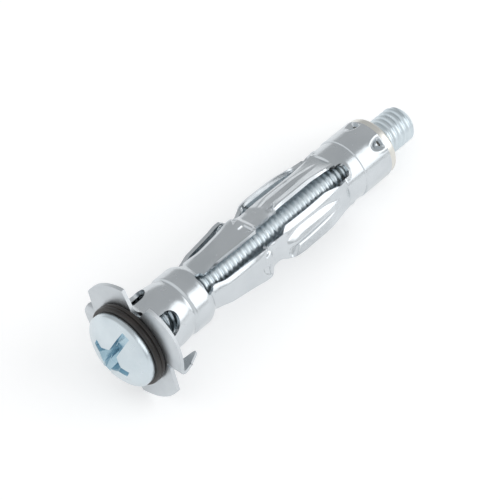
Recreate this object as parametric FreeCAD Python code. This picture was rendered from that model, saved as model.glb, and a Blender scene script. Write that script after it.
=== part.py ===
"""A metal hollow wall anchor: an expanding sheet sleeve, its end nut, a machine screw and a washer.

Millimetres. The axis of the anchor is +Y, from the screw head into the wall, +Z is up and the origin
lies on the axis at the wall side of the collar, where the collar meets the board. Angles about the
axis are counted from +X towards +Z.
"""
import FreeCAD, Part
import math
import os
from typing import NamedTuple

from FreeCAD import Vector

# Sheet and fits
SHEET = 0.6
THREAD_CLEARANCE = 0.05
NUT_CLEARANCE = 0.05
REAR_GAP = 0.12

# Collar with its wings
COLLAR_RADIUS = 9.4
COLLAR_FLARE = 1.8
WING_NOTCH_FLOOR = 0.8
WIDE_WING_LOW = 5.0
WIDE_WING_HIGH = 71.0
WIDE_WING_ROOT_TURN = 4.0
NARROW_WING_LOW = 100.0
NARROW_WING_HIGH = 152.0
NARROW_WING_ROOT_TURN = 10.0
NOTCH_FLAT_TURN = 3.5
SLANT_FOOT_TURN = 6.0
SLANT_FOOT_RISE = 0.5
CLAW_BASE_RADIUS = 7.1
CLAW_TIP_INSET = 0.45
CLAW_HOOK = 0.8
CLAW_REACH = 3.6
CLAW_LEAN = 20.0

# Neck, groove and cup in front of the legs
NECK_RADIUS = 4.9
GROOVE_RADIUS = 4.55
GROOVE_START = 7.4
CUP_RADIUS = 4.8
CUP_START = 8.2
CUP_SHOULDER = 10.7
CUP_END = 11.75
CUP_MOUTH_RADIUS = 4.15

# Windows behind the collar
WINDOW_WIDTH = 3.6
WINDOW_START = 1.4
WINDOW_END = 4.9
FIRST_WINDOW = 38.0

# Legs
LEG_COUNT = 4
FIRST_LEG = 12.0
LEG_EMBED = 0.6
SLOT_FRONT_WIDTH = 3.2
SLOT_FRONT_START = 11.0
SLOT_FRONT_END = 12.5
SLOT_REAR_WIDTH = 2.2
SLOT_REAR_RUN = 2.9
SLOT_REAR_END = 41.9
SLOT_CORNER = 0.6
KNEE_FRONT = 23.0
KNEE_DROP_LENGTH = 0.9
KNEE_WAIST = 25.4
KNEE_REAR = 27.4
LEG_FRONT_FACE = 4.92
LEG_FRONT_HALF_WIDTH = 2.75
LEG_WAIST_FACE = 4.5
LEG_WAIST_HALF_WIDTH = 2.0
LEG_REAR_FACE = 5.1
LEG_REAR_HALF_WIDTH = 2.7
LEG_TAIL_DROP = 0.25
LEG_ROOT_ANGLE = 31.0
LEG_FLAT_START_FACE = 4.4
LEG_FLAT_START_HALF_WIDTH = 2.35
FLAT_START = 16.5
EDGE_EASE = 0.15
BRIM_DROP = 0.3
BRIM_EASE = 0.1
BOSS_HEIGHT = 0.45
BOSS_LOW_SIDE = 2.45
BOSS_HIGH_SIDE = 1.35
BOSS_SLOPE_WIDTH = 0.45
BOSS_RISE = 1.2
BOSS_RUN_OUT = 2.4
BOSS_END = 37.6
DART_DEPTH = 0.25
DART_INNER = 0.65
DART_OUTER = 2.1
DART_LENGTH = 1.7
ARC_SHARES = (1.0, 0.85, 0.65)
MIDDLE_SHARES = (0.45, 0.25)

# Rear tube and the stakes that hold the nut
TUBE_START = 40.5
TUBE_RADIUS = 4.76
TUBE_STEP = 44.3
TUBE_STEP_HEIGHT = 0.17
TUBE_STEP_LENGTH = 0.2
TUBE_END = 49.8
STAKE_ANGLES = (54.0, 116.0, 234.0, 296.0)
STAKE_WIDTH = 1.8
STAKE_START = 47.7
STAKE_END = 49.35
STAKE_DEPTH = 1.05
STAKE_TIP_THICKNESS = 0.48
STAKE_TIP_CLEARANCE = 0.15
STAKE_SIDE_CLEARANCE = 0.1

# Nut
NUT_START = 42.6
NUT_STEP_CLEARANCE = 0.2
NUT_GROOVE_DEPTH_CLEARANCE = 0.15
NUT_GROOVE_CHAMFER = 0.3
NUT_RING_LENGTH = 1.35
NUT_RING_RADIUS = 4.75
NUT_CHAMFER = 0.35

# Screw
THREAD_RADIUS = 3.0
SCREW_LENGTH = 60.0
SCREW_END_CHAMFER = 0.6
HEAD_RADIUS = 5.95
HEAD_BAND = 1.1
HEAD_DOME = 2.1
HEAD_EDGE = 0.15
DRIVE_ANGLE = 70.0
SLOT_WIDTH = 1.45
SLOT_DEPTH = 1.7
CROSS_SPAN = 7.2
CROSS_ARM_WIDTH = 1.3
CROSS_DEPTH = 3.0
CROSS_FOOT_RADIUS = 1.95
THROAT_HALF_WIDTH = 1.9
THROAT_FOOT_HALF_WIDTH = 1.15
CUT_MARGIN = 1.0

# Washer
WASHER_RADIUS = 6.5
WASHER_THICKNESS = 1.47
WASHER_BORE_CLEARANCE = 0.2
WASHER_GROOVE_DEPTH = 0.15
WASHER_GROOVE_HALF_WIDTH = 0.12

# Places that follow from the sizes above
AXIS = Vector(0, 1, 0)
TURN = Vector(0, -1, 0)
ORIGIN = Vector(0, 0, 0)
COLLAR_FRONT = -SHEET
WASHER_FRONT = COLLAR_FRONT - WASHER_THICKNESS
SCREW_TIP = WASHER_FRONT + SCREW_LENGTH
HEAD_BAND_FRONT = WASHER_FRONT - HEAD_BAND
HEAD_APEX = HEAD_BAND_FRONT - HEAD_DOME
CUP_MOUTH_INNER = CUP_MOUTH_RADIUS - SHEET
FLARE_EDGE_RADIUS = NECK_RADIUS + COLLAR_FLARE
TUBE_BORE = TUBE_RADIUS - SHEET
TUBE_REAR_RADIUS = TUBE_RADIUS + TUBE_STEP_HEIGHT
TUBE_REAR_START = TUBE_STEP + TUBE_STEP_LENGTH
TUBE_REAR_BORE = TUBE_REAR_RADIUS - SHEET
STAKE_TIP_RADIUS = TUBE_REAR_RADIUS - STAKE_DEPTH
CLAW_TIP_RADIUS = COLLAR_RADIUS - CLAW_TIP_INSET
CLEAR_RADIUS = 2 * COLLAR_RADIUS


def spin(shape, angle):
    """Turns a shape that was built towards +X to an angle about the axis."""
    turned = shape.copy()
    turned.rotate(ORIGIN, TURN, angle)
    return turned


def polar(radius, angle, y=0.0):
    """A point at a radius and an angle about the axis."""
    return Vector(radius * math.cos(math.radians(angle)), y, radius * math.sin(math.radians(angle)))


def wire_through(steps):
    """A closed wire through points; a pair in the list is the middle and the end of an arc."""
    edges = []
    here = steps[0]
    for step in steps[1:] + [steps[0]]:
        if isinstance(step, tuple):
            edges.append(Part.Arc(here, step[0], step[1]).toShape())
            here = step[1]
        elif here.distanceToPoint(step) > 1e-9:
            edges.append(Part.LineSegment(here, step).toShape())
            here = step
    return Part.Wire(edges)


def turned_piece(steps):
    """A solid turned about the axis from a profile of (radius, y) points and arcs."""
    def place(step):
        if isinstance(step[0], tuple):
            return tuple(Vector(point[0], point[1], 0) for point in step)
        return Vector(step[0], step[1], 0)
    face = Part.Face(wire_through([place(step) for step in steps]))
    return face.revolve(ORIGIN, AXIS, 360)


def radial_prism(outline, inner, outer):
    """A prism that runs outwards along +X; the outline holds (y, sideways) points and arcs."""
    def place(step):
        if isinstance(step[0], tuple):
            return tuple(Vector(inner, point[0], point[1]) for point in step)
        return Vector(inner, step[0], step[1])
    face = Part.Face(wire_through([place(step) for step in outline]))
    return face.extrude(Vector(outer - inner, 0, 0))


def rounded_window(start, end, width, corner, inner, outer):
    """A radial prism with four round corners, from start to end along the axis."""
    half = width / 2
    near = corner * (1 - math.sqrt(0.5))
    outline = [
        (start + corner, -half),
        (end - corner, -half),
        ((end - near, -half + near), (end, -half + corner)),
        (end, half - corner),
        ((end - near, half - near), (end - corner, half)),
        (start + corner, half),
        ((start + near, half - near), (start, half - corner)),
        (start, -half + corner),
        ((start + near, -half + near), (start + corner, -half)),
    ]
    return radial_prism(outline, inner, outer)


def around(count, first):
    """Evenly spaced angles from a first one."""
    return [first + 360.0 * index / count for index in range(count)]


def arc_point(centre, radius, angle):
    """A point of a circle in the plane of (radius, y)."""
    return (
        centre[0] + radius * math.cos(math.radians(angle)),
        centre[1] + radius * math.sin(math.radians(angle)),
    )


def front_tube():
    """Collar, neck, groove and cup, turned as one, before the wings are cut."""
    outer_centre = (FLARE_EDGE_RADIUS, COLLAR_FLARE)
    shoulder_radius = CUP_RADIUS - CUP_MOUTH_RADIUS
    shoulder_centre = (CUP_MOUTH_RADIUS, CUP_SHOULDER)
    shoulder_end = arc_point(shoulder_centre, shoulder_radius, 90)
    return turned_piece([
        (COLLAR_RADIUS, COLLAR_FRONT),
        (COLLAR_RADIUS, 0.0),
        (outer_centre[0], 0.0),
        (arc_point(outer_centre, COLLAR_FLARE, 225), (NECK_RADIUS, COLLAR_FLARE)),
        (GROOVE_RADIUS, GROOVE_START),
        (CUP_RADIUS, CUP_START),
        (CUP_RADIUS, CUP_SHOULDER),
        (arc_point(shoulder_centre, shoulder_radius, 45), shoulder_end),
        (CUP_MOUTH_RADIUS, CUP_END),
        (CUP_MOUTH_INNER, CUP_END),
        (CUP_MOUTH_INNER, CUP_SHOULDER),
        (CUP_RADIUS - SHEET, CUP_SHOULDER - SHEET),
        (CUP_RADIUS - SHEET, CUP_START),
        (GROOVE_RADIUS - SHEET, GROOVE_START),
        (NECK_RADIUS - SHEET, COLLAR_FLARE),
        (arc_point(outer_centre, COLLAR_FLARE + SHEET, 225), (outer_centre[0], COLLAR_FRONT)),
    ])


def wing_notches():
    """The gaps between the wings: an open one and one beside the claw, on both sides."""
    wide_root = WIDE_WING_HIGH + WIDE_WING_ROOT_TURN
    narrow_root = NARROW_WING_LOW - NARROW_WING_ROOT_TURN
    open_gap = [
        polar(CUP_MOUTH_INNER, wide_root),
        polar(FLARE_EDGE_RADIUS, wide_root),
        polar(COLLAR_RADIUS, WIDE_WING_HIGH),
        polar(CLEAR_RADIUS, WIDE_WING_HIGH),
        polar(CLEAR_RADIUS, NARROW_WING_LOW),
        polar(COLLAR_RADIUS, NARROW_WING_LOW),
        polar(FLARE_EDGE_RADIUS, narrow_root),
        polar(CUP_MOUTH_INNER, narrow_root),
    ]
    slant_end = NARROW_WING_HIGH - 180
    claw_gap = [
        polar(FLARE_EDGE_RADIUS, WIDE_WING_LOW),
        polar(CLEAR_RADIUS, WIDE_WING_LOW),
        polar(CLEAR_RADIUS, slant_end),
        polar(COLLAR_RADIUS, slant_end),
        polar(FLARE_EDGE_RADIUS + SLANT_FOOT_RISE, WIDE_WING_LOW - SLANT_FOOT_TURN),
        polar(FLARE_EDGE_RADIUS, WIDE_WING_LOW - NOTCH_FLAT_TURN),
    ]
    notches = []
    for outline, floor in ((open_gap, WING_NOTCH_FLOOR), (claw_gap, COLLAR_FLARE)):
        prism = Part.Face(wire_through(outline)).extrude(AXIS * (2 * SHEET + floor))
        prism.translate(Vector(0, floor - prism.BoundBox.YMax, 0))
        notches += [prism, spin(prism, 180)]
    return notches


def claw():
    """The tooth bent back from the low end of a wide wing, built at +X."""
    tip = Vector(CLAW_TIP_RADIUS, CLAW_REACH, 0)
    back = COLLAR_RADIUS - CLAW_TIP_INSET / 4
    outline = [
        Vector(CLAW_BASE_RADIUS, COLLAR_FRONT, 0),
        Vector(COLLAR_RADIUS, COLLAR_FRONT, 0),
        Vector(COLLAR_RADIUS, 0, 0),
        (Vector(back, CLAW_REACH / 2, 0), tip),
        (Vector(CLAW_TIP_RADIUS - CLAW_HOOK, CLAW_REACH / 2, 0), Vector(CLAW_BASE_RADIUS, 0, 0)),
    ]
    tooth = Part.Face(wire_through(outline)).extrude(Vector(0, 0, SHEET))
    tooth.rotate(Vector(0, COLLAR_FRONT, 0), Vector(1, 0, 0), CLAW_LEAN)
    tooth.translate(Vector(0, COLLAR_FRONT - tooth.BoundBox.YMin, 0))
    return tooth


def neck_window():
    """The D-shaped window behind the collar, built at +X, straight towards the collar."""
    half = WINDOW_WIDTH / 2
    round_start = WINDOW_END - half
    outline = [
        (WINDOW_START, -half),
        (round_start, -half),
        ((WINDOW_END, 0.0), (round_start, half)),
        (WINDOW_START, half),
    ]
    return radial_prism(outline, THREAD_RADIUS + SHEET / 2, CLEAR_RADIUS)


class Station(NamedTuple):
    """A cross-section of a leg: points (across, height) of its outside, from its high edge to its low one."""

    y: float
    outside: list


def mirrored(points):
    """The points on the other side of a leg's middle, in the opposite order."""
    return [(-across, height) for across, height in reversed(points)]


def round_station(y, radius, edge_angle):
    """A cross-section that follows a circle, where a leg leaves the cup."""
    angles = [math.radians(edge_angle * share) for share in ARC_SHARES + MIDDLE_SHARES]
    half = [(radius * math.sin(angle), radius * math.cos(angle)) for angle in angles]
    return Station(y, half + mirrored(half))


def flat_station(y, face, half_width):
    """A flat cross-section with its edges eased down a little."""
    half = [
        (half_width, face - EDGE_EASE),
        (half_width - EDGE_EASE, face),
        (half_width - 2 * EDGE_EASE, face),
    ]
    half += [(half_width * share, face) for share in MIDDLE_SHARES]
    return Station(y, half + mirrored(half))


def boss_station(y, face, half_width, boss):
    """A cross-section with its edges bent down and a boss that lies nearer to its low side."""
    brim = [
        (half_width, face - BRIM_DROP),
        (half_width - BRIM_EASE, face - BRIM_DROP / 2),
        (half_width - 2 * BRIM_EASE, face),
    ]
    high = brim + [(BOSS_HIGH_SIDE, face), (BOSS_HIGH_SIDE - BOSS_SLOPE_WIDTH, face + boss)]
    low = brim + [(BOSS_LOW_SIDE, face), (BOSS_LOW_SIDE - BOSS_SLOPE_WIDTH, face + boss)]
    return Station(y, high + mirrored(low))


def leg_stations():
    """The cross-sections of a leg from the cup, over the knee, to the rear tube."""
    rear_radius = TUBE_RADIUS - SHEET / 2
    rear_half = rear_radius * math.sin(math.radians(LEG_ROOT_ANGLE))
    tail_face = LEG_REAR_FACE - LEG_TAIL_DROP
    return [
        round_station(CUP_END - LEG_EMBED, CUP_MOUTH_RADIUS, LEG_ROOT_ANGLE),
        round_station(SLOT_FRONT_END, CUP_MOUTH_RADIUS, LEG_ROOT_ANGLE),
        flat_station(FLAT_START, LEG_FLAT_START_FACE, LEG_FLAT_START_HALF_WIDTH),
        flat_station(KNEE_FRONT, LEG_FRONT_FACE, LEG_FRONT_HALF_WIDTH),
        flat_station(KNEE_FRONT + KNEE_DROP_LENGTH, LEG_WAIST_FACE, LEG_WAIST_HALF_WIDTH),
        flat_station(KNEE_WAIST, LEG_WAIST_FACE, LEG_WAIST_HALF_WIDTH),
        boss_station(KNEE_REAR, LEG_REAR_FACE, LEG_REAR_HALF_WIDTH, 0.0),
        boss_station(KNEE_REAR + BOSS_RISE, LEG_REAR_FACE, LEG_REAR_HALF_WIDTH, BOSS_HEIGHT),
        boss_station(BOSS_END - BOSS_RUN_OUT, LEG_REAR_FACE, LEG_REAR_HALF_WIDTH, BOSS_HEIGHT),
        boss_station(BOSS_END, tail_face, LEG_REAR_HALF_WIDTH, 0.0),
        flat_station(TUBE_START - EDGE_EASE, rear_radius, rear_half),
        flat_station(TUBE_START + LEG_EMBED, rear_radius, rear_half),
    ]


def leg_section(station):
    """One closed cross-section of a leg: the outside, and the same line moved in by the sheet."""
    inside = [toward_axis(point) for point in station.outside]
    points = [Vector(height, station.y, across) for across, height in station.outside + inside[::-1]]
    return Part.makePolygon(points + [points[0]])


def toward_axis(point):
    """A point of a cross-section moved towards the axis by the sheet."""
    share = 1 - SHEET / math.hypot(*point)
    return (point[0] * share, point[1] * share)


def leg():
    """One leg, built at +X, from the cup to the rear tube."""
    sections = [leg_section(station) for station in leg_stations()]
    return Part.makeLoft(sections, True, True).cut(knee_darts())


def knee_darts():
    """The two shallow three-cornered pinches in a leg, one on each side in front of its knee."""
    past = 2 * LEG_FRONT_HALF_WIDTH
    outline = [
        (KNEE_FRONT - DART_LENGTH, (DART_INNER + DART_OUTER) / 2),
        (KNEE_FRONT, DART_INNER),
        (KNEE_FRONT, past),
        (KNEE_FRONT - DART_LENGTH, DART_OUTER),
    ]
    other_side = [(y, -across) for y, across in outline]
    floor = LEG_FRONT_FACE - DART_DEPTH
    return [radial_prism(side, floor, CLEAR_RADIUS) for side in (outline, other_side)]


def rear_tube():
    """The tube that holds the nut, with its fine step."""
    return turned_piece([
        (TUBE_BORE, TUBE_START),
        (TUBE_RADIUS, TUBE_START),
        (TUBE_RADIUS, TUBE_STEP),
        (TUBE_REAR_RADIUS, TUBE_REAR_START),
        (TUBE_REAR_RADIUS, TUBE_END),
        (TUBE_REAR_BORE, TUBE_END),
        (TUBE_REAR_BORE, TUBE_REAR_START),
        (TUBE_BORE, TUBE_STEP),
    ])


def stake_tongue():
    """The strip of the tube wall that is pressed in to the groove of the nut, built at +X."""
    tip = STAKE_END - STAKE_TIP_CLEARANCE
    outline = [
        Vector(TUBE_REAR_RADIUS, STAKE_START - SHEET, 0),
        Vector(TUBE_REAR_RADIUS, STAKE_START, 0),
        Vector(STAKE_TIP_RADIUS + STAKE_TIP_THICKNESS, tip, 0),
        Vector(STAKE_TIP_RADIUS, tip, 0),
        Vector(TUBE_REAR_BORE, STAKE_START - SHEET / 2, 0),
        Vector(TUBE_REAR_BORE, STAKE_START - SHEET, 0),
    ]
    width = STAKE_WIDTH - 2 * STAKE_SIDE_CLEARANCE
    tongue = Part.Face(wire_through(outline)).extrude(Vector(0, 0, width))
    tongue.translate(Vector(0, 0, -width / 2))
    return tongue


def expansion_sleeve():
    """The whole sheet piece: collar, neck, cup, four legs and the rear tube."""
    sleeve = front_tube().cut(wing_notches())
    claws = [spin(claw(), WIDE_WING_LOW + turn) for turn in (0, 180)]
    sleeve = sleeve.cut([spin(neck_window(), angle) for angle in around(LEG_COUNT, FIRST_WINDOW)])
    legs = [spin(leg(), angle) for angle in around(LEG_COUNT, FIRST_LEG)]
    sleeve = sleeve.fuse(claws + legs + [rear_tube()])
    slot_angles = around(LEG_COUNT, FIRST_LEG + 180.0 / LEG_COUNT)
    front_end = rounded_window(
        SLOT_FRONT_START, SLOT_FRONT_END, SLOT_FRONT_WIDTH, SLOT_CORNER, THREAD_RADIUS, CLEAR_RADIUS)
    rear_start = SLOT_REAR_END - SLOT_REAR_RUN
    rear_end = rounded_window(
        rear_start, SLOT_REAR_END, SLOT_REAR_WIDTH, SLOT_CORNER, THREAD_RADIUS, CLEAR_RADIUS)
    stake = rounded_window(
        STAKE_START, STAKE_END, STAKE_WIDTH, STAKE_SIDE_CLEARANCE, THREAD_RADIUS, CLEAR_RADIUS)
    openings = [spin(front_end, angle) for angle in slot_angles]
    openings += [spin(rear_end, angle) for angle in slot_angles]
    openings += [spin(stake, angle) for angle in STAKE_ANGLES]
    sleeve = sleeve.cut(openings)
    return sleeve.fuse([spin(stake_tongue(), angle) for angle in STAKE_ANGLES]).removeSplitter()


def end_nut():
    """The nut held in the rear tube, with its groove for the stakes and its end ring."""
    body = TUBE_BORE - NUT_CLEARANCE
    rear_body = TUBE_REAR_BORE - NUT_CLEARANCE
    bore = THREAD_RADIUS + THREAD_CLEARANCE
    groove = STAKE_TIP_RADIUS - NUT_GROOVE_DEPTH_CLEARANCE
    ring_start = TUBE_END + REAR_GAP
    ring_end = ring_start + NUT_RING_LENGTH
    shoulder = TUBE_REAR_START + NUT_STEP_CLEARANCE
    return turned_piece([
        (bore, NUT_START),
        (body - NUT_CHAMFER, NUT_START),
        (body, NUT_START + NUT_CHAMFER),
        (body, shoulder),
        (rear_body, shoulder),
        (rear_body, STAKE_START - NUT_GROOVE_CHAMFER),
        (groove, STAKE_START),
        (groove, STAKE_END + STAKE_SIDE_CLEARANCE),
        (rear_body, STAKE_END + STAKE_SIDE_CLEARANCE),
        (rear_body, ring_start),
        (NUT_RING_RADIUS, ring_start),
        (NUT_RING_RADIUS, ring_end - NUT_CHAMFER),
        (NUT_RING_RADIUS - NUT_CHAMFER, ring_end),
        (bore, ring_end),
    ])


def drive_recess():
    """The straight slot and the cross recess in line with it, cut from the front of the head."""
    front = HEAD_APEX - CUT_MARGIN
    reach = HEAD_RADIUS + CUT_MARGIN
    slot_corner = Vector(-reach, front, -SLOT_WIDTH / 2)
    slot = Part.makeBox(2 * reach, SLOT_DEPTH + CUT_MARGIN, SLOT_WIDTH, slot_corner)
    depth = CROSS_DEPTH + CUT_MARGIN
    half = CROSS_SPAN / 2
    slope = (half - CROSS_FOOT_RADIUS) / CROSS_DEPTH
    mouth = half + slope * CUT_MARGIN
    arm = Part.makeBox(2 * mouth, depth, CROSS_ARM_WIDTH, Vector(-mouth, front, -CROSS_ARM_WIDTH / 2))
    cone = Part.makeCone(mouth, CROSS_FOOT_RADIUS, depth, Vector(0, front, 0), AXIS)
    cross = arm.fuse(spin(arm, 90)).common(cone)
    return spin(slot.fuse([cross, throat(front, depth)]), DRIVE_ANGLE)


def throat(front, depth):
    """The four-sided pit that widens the middle of the cross recess between its arms."""
    slope = (THROAT_HALF_WIDTH - THROAT_FOOT_HALF_WIDTH) / CROSS_DEPTH
    mouth = THROAT_HALF_WIDTH + slope * CUT_MARGIN
    squares = []
    for half_width, y in ((mouth, front), (THROAT_FOOT_HALF_WIDTH, front + depth)):
        corners = [polar(half_width * math.sqrt(2), turn, y) for turn in around(4, 0)]
        squares.append(Part.makePolygon(corners + [corners[0]]))
    return Part.makeLoft(squares, True, True)


def machine_screw():
    """The screw with its low domed head; the shank is plain at the outer size of the thread."""
    dome_radius = (HEAD_RADIUS ** 2 + HEAD_DOME ** 2) / (2 * HEAD_DOME)
    dome_centre = HEAD_APEX + dome_radius
    half_way = HEAD_RADIUS / 2
    half_way_y = dome_centre - math.sqrt(dome_radius ** 2 - half_way ** 2)
    blank = turned_piece([
        (0.0, HEAD_APEX),
        ((half_way, half_way_y), (HEAD_RADIUS, HEAD_BAND_FRONT)),
        (HEAD_RADIUS, WASHER_FRONT - HEAD_EDGE),
        (HEAD_RADIUS - HEAD_EDGE, WASHER_FRONT),
        (THREAD_RADIUS, WASHER_FRONT),
        (THREAD_RADIUS, SCREW_TIP - SCREW_END_CHAMFER),
        (THREAD_RADIUS - SCREW_END_CHAMFER, SCREW_TIP),
        (0.0, SCREW_TIP),
    ])
    return blank.cut(drive_recess())


def retaining_washer():
    """The dark washer between the head and the collar, with a fine groove round its edge."""
    middle = (WASHER_FRONT + COLLAR_FRONT) / 2
    bore = THREAD_RADIUS + WASHER_BORE_CLEARANCE
    return turned_piece([
        (bore, WASHER_FRONT),
        (WASHER_RADIUS - HEAD_EDGE, WASHER_FRONT),
        (WASHER_RADIUS, WASHER_FRONT + HEAD_EDGE),
        (WASHER_RADIUS, middle - WASHER_GROOVE_HALF_WIDTH),
        (WASHER_RADIUS - WASHER_GROOVE_DEPTH, middle),
        (WASHER_RADIUS, middle + WASHER_GROOVE_HALF_WIDTH),
        (WASHER_RADIUS, COLLAR_FRONT - HEAD_EDGE),
        (WASHER_RADIUS - HEAD_EDGE, COLLAR_FRONT),
        (bore, COLLAR_FRONT),
    ])


def main():
    """Builds every piece and writes it to its own file."""
    os.makedirs("parts", exist_ok=True)
    for make in (expansion_sleeve, end_nut, machine_screw, retaining_washer):
        shape = make()
        print(make.__name__, "solids", len(shape.Solids), "valid", shape.isValid(), "volume", round(shape.Volume, 2))
        shape.exportStep(f"parts/{make.__name__}.step")


main()
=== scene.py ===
"""The looks of a metal hollow wall anchor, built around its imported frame.

The axis of the anchor is +Y, from the screw head into the wall, +Z is up and the origin lies at the
wall side of the collar. Sizes are in millimetres and become metres as a mesh is finished. Angles
about the axis are in degrees from +X towards +Z.
"""
from __future__ import annotations

import logging
import math
from bisect import bisect_right
from dataclasses import dataclass, field
from enum import Enum
from functools import cached_property

import bmesh
import bpy
from bmesh.types import BMesh, BMVert
from mathutils import Matrix, Vector

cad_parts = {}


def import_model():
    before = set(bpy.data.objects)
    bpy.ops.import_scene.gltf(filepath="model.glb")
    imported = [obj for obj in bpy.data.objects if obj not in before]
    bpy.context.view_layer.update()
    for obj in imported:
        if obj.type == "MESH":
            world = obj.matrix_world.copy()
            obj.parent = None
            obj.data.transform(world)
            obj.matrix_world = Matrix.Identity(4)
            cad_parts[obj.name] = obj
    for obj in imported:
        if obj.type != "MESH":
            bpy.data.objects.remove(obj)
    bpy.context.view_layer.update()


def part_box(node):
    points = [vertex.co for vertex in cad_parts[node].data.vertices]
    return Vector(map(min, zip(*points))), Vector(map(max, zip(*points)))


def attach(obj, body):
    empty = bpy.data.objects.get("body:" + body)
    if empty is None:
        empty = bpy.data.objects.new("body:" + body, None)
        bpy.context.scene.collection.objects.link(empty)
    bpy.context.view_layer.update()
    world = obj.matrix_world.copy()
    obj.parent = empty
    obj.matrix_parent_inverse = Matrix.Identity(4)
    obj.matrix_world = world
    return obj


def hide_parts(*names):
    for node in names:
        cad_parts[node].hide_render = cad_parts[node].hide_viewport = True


log = logging.getLogger("wall_anchor")

MM = 0.001
AXIS = Vector((0.0, 1.0, 0.0))
QUARTER_TURN = 90.0
HALF_TURN = 180.0
FULL_TURN = 360.0
REAR_TUBE_RADIUS = 4.93
# Places nearer to each other than this count as one.
SAME_PLACE = 1e-4


class Body(Enum):
    """The moving bodies of the frame."""

    ANCHOR = "anchor"
    WASHER = "washer"
    SCREW = "screw"


def smooth_step(share: float) -> float:
    """Rises softly from 0 to 1.

    Args:
        share: How far along the rise, below 0 before it and above 1 after it.

    Returns:
        A value from 0 to 1 with level ends.
    """
    share = min(max(share, 0.0), 1.0)
    return share * share * (3.0 - 2.0 * share)


def turned_by(angle: float, centre: float) -> float:
    """The angle counted from a centre, between -180 and 180 degrees."""
    return (angle - centre + HALF_TURN) % FULL_TURN - HALF_TURN


@dataclass(frozen=True)
class Course:
    """A size that changes along the anchor, as one soft curve through a few stations."""

    stations: tuple[tuple[float, float], ...]

    @cached_property
    def slopes(self) -> list[float]:
        """The slope at each station, level wherever the size turns."""
        runs = [
            (after[1] - before[1]) / (after[0] - before[0])
            for before, after in zip(self.stations, self.stations[1:])
        ]
        inner = [2.0 * a * b / (a + b) if a * b > 0.0 else 0.0 for a, b in zip(runs, runs[1:])]
        return [runs[0], *inner, runs[-1]]

    def at(self, place: float) -> float:
        """The size at a place.

        Args:
            place: Where along the anchor.

        Returns:
            The size there, held level before the first and after the last station.
        """
        if place <= self.stations[0][0]:
            return self.stations[0][1]
        if place >= self.stations[-1][0]:
            return self.stations[-1][1]
        here = bisect_right([station[0] for station in self.stations], place) - 1
        (start, low), (end, high) = self.stations[here], self.stations[here + 1]
        run = end - start
        t = (place - start) / run
        rise_in, rise_out = self.slopes[here] * run, self.slopes[here + 1] * run
        bend = (low - high) * 2.0 + rise_in + rise_out
        swing = (high - low) * 3.0 - 2.0 * rise_in - rise_out
        return ((bend * t + swing) * t + rise_in) * t + low


# ---------------------------------------------------------------- finishes


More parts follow.
